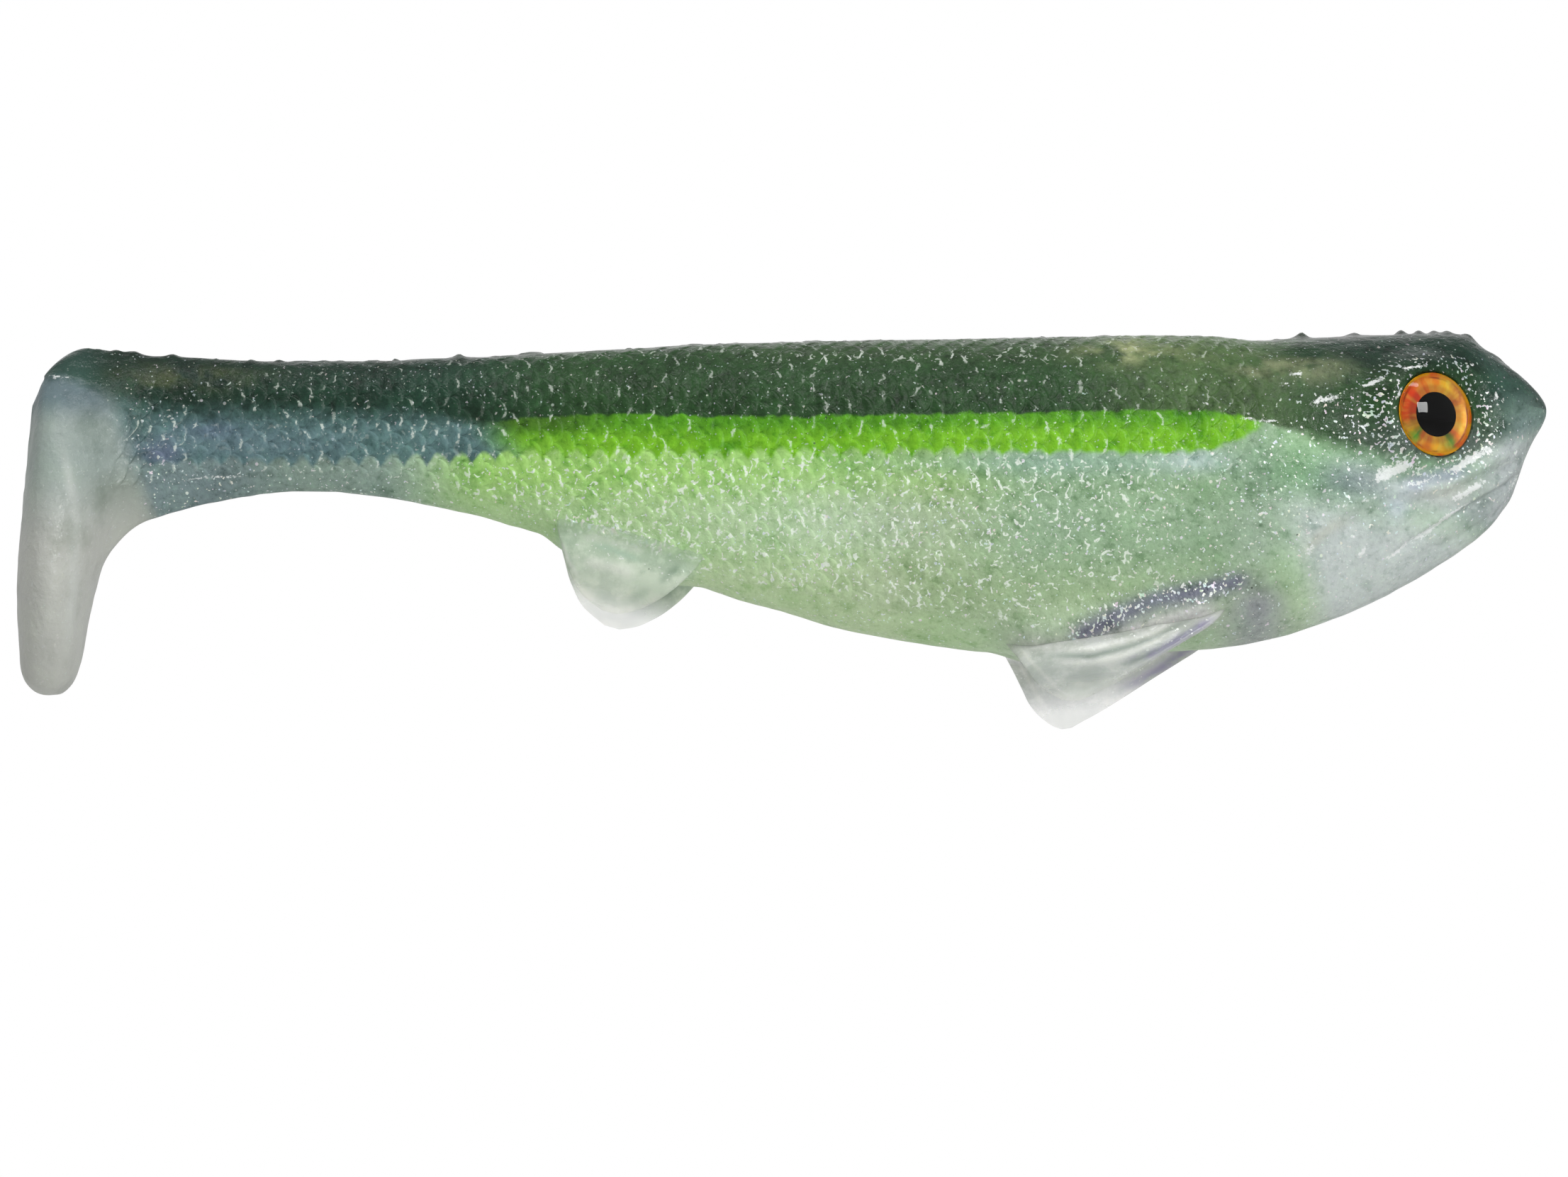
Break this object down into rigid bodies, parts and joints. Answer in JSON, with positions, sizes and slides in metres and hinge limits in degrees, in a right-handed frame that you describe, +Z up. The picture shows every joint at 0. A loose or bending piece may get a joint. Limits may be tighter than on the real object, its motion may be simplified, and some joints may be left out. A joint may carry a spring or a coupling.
{
  "type": "swimbait",
  "caption": "Soft-plastic paddle-tail fishing lure: laminated scaled body, sprung tail segments, thin fins and domed stick-on eyes.",
  "frame": {"origin": "tip of the nose, on the centre plane, where the hook or jig head enters", "axes": "+X forward out of the nose, +Z up out of the back, -Y the fish's right side"},
  "size_m": [0.1272, 0.0184, 0.0332],
  "materials": {
    "back_green": "glossy translucent plastisol, dark green with silver glitter",
    "belly_pearl": "glossy translucent plastisol, sage pearl with silver glitter",
    "stripe_chartreuse": "glossy translucent plastisol, chartreuse",
    "stalk_smoke": "glossy translucent plastisol, smoke grey",
    "paddle_clear": "satin translucent plastisol, clear grey",
    "fin_clear": "glossy clear plastisol",
    "eye_pad": "adhesive foam",
    "eye_foil": "holographic orange and gold foil",
    "eye_pupil": "printed black",
    "eye_dome": "clear polished resin"
  },
  "bodies": {
    "body": {"front_back": "back_green", "front_belly": "belly_pearl", "stripe_right": "stripe_chartreuse", "stripe_left": "stripe_chartreuse", "eye_pad_right": "eye_pad", "eye_foil_right": "eye_foil", "eye_pupil_right": "eye_pupil", "eye_dome_right": "eye_dome", "eye_pad_left": "eye_pad", "eye_foil_left": "eye_foil", "eye_pupil_left": "eye_pupil", "eye_dome_left": "eye_dome"},
    "rear_body": {"rear_back": "back_green", "rear_belly": "belly_pearl"},
    "stalk": {"stalk_back": "back_green", "stalk_core": "stalk_smoke"},
    "tail": {"tail_cap": "back_green", "paddle": "paddle_clear"},
    "pectoral_fin_right": {"pectoral_fin_right": "fin_clear"},
    "pectoral_fin_left": {"pectoral_fin_left": "fin_clear"},
    "pelvic_fin_right": {"pelvic_fin_right": "fin_clear"},
    "pelvic_fin_left": {"pelvic_fin_left": "fin_clear"}
  },
  "joints": [
    {"name": "rear_flex", "type": "hinge", "parent": "body", "child": "rear_body", "pos_m": [-0.084, 0, 0], "axis": [0, 0, 1], "range_deg": [-15, 15], "stiffness_Nm_per_rad": 0.006},
    {"name": "stalk_flex", "type": "hinge", "parent": "rear_body", "child": "stalk", "pos_m": [-0.101, 0, 0], "axis": [0, 0, 1], "range_deg": [-22, 22], "stiffness_Nm_per_rad": 0.003},
    {"name": "wrist_flex", "type": "hinge", "parent": "stalk", "child": "tail", "pos_m": [-0.116, 0, 0], "axis": [0, 0, 1], "range_deg": [-35, 35], "stiffness_Nm_per_rad": 0.0015},
    {"name": "pectoral_right_flex", "type": "hinge", "parent": "body", "child": "pectoral_fin_right", "pos_m": [-0.0365, -0.005, -0.01745], "axis": [-0.9792, 0.1152, -0.167], "range_deg": [-15, 30], "stiffness_Nm_per_rad": 0.0001},
    {"name": "pectoral_left_flex", "type": "hinge", "parent": "body", "child": "pectoral_fin_left", "pos_m": [-0.0365, 0.005, -0.01745], "axis": [0.9792, 0.1152, 0.167], "range_deg": [-15, 30], "stiffness_Nm_per_rad": 0.0001},
    {"name": "pelvic_right_flex", "type": "hinge", "parent": "body", "child": "pelvic_fin_right", "pos_m": [-0.07625, -0.0033, -0.01125], "axis": [-0.9579, 0.0833, 0.2749], "range_deg": [-15, 30], "stiffness_Nm_per_rad": 0.0001},
    {"name": "pelvic_left_flex", "type": "hinge", "parent": "body", "child": "pelvic_fin_left", "pos_m": [-0.07625, 0.0033, -0.01125], "axis": [0.9579, 0.0833, -0.2749], "range_deg": [-15, 30], "stiffness_Nm_per_rad": 0.0001}
  ]
}
